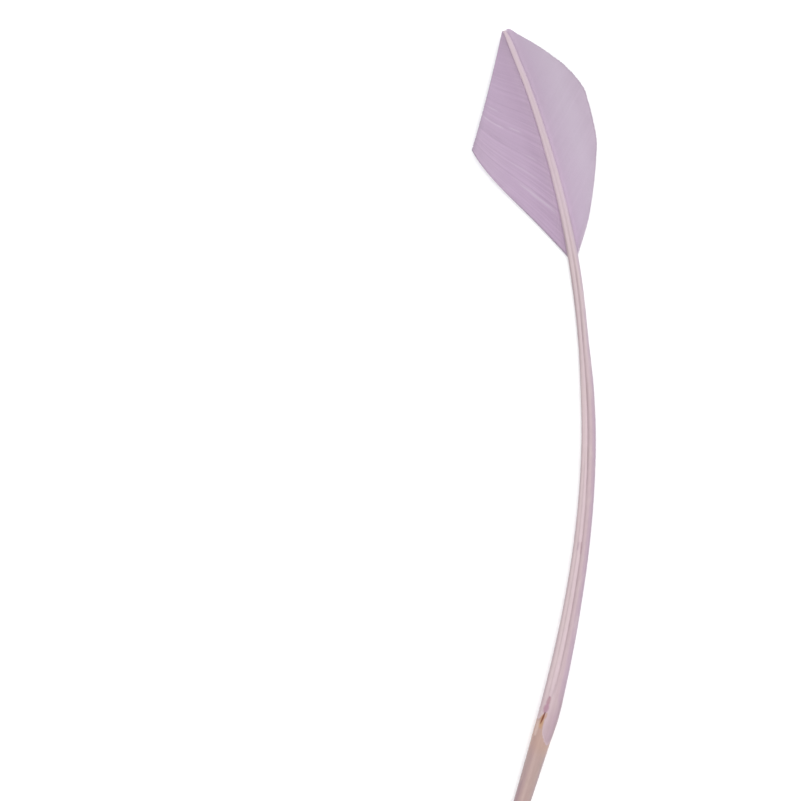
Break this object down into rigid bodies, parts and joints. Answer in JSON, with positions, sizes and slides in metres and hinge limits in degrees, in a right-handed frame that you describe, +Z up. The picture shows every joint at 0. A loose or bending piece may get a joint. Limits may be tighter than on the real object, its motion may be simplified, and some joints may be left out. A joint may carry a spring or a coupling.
{
  "type": "turkey quill feather",
  "caption": "Dyed turkey wing quill with its shaft stripped bare and its vanes trimmed to an arrowhead at the tip.",
  "frame": {"origin": "centre of the bounding box, on the surface that the feather lies on", "axes": "+Y runs along the feather's length towards its tip, +Z is up out of the grooved under side, +X is towards the narrow vane"},
  "size_m": [0.0403, 0.2768, 0.0062],
  "materials": {
    "horn": "satin",
    "wide_barbs": "matte",
    "narrow_barbs": "matte"
  },
  "bodies": {
    "root": {"shaft": "horn", "wide_vane": "wide_barbs", "narrow_vane": "narrow_barbs"}
  },
  "joints": []
}
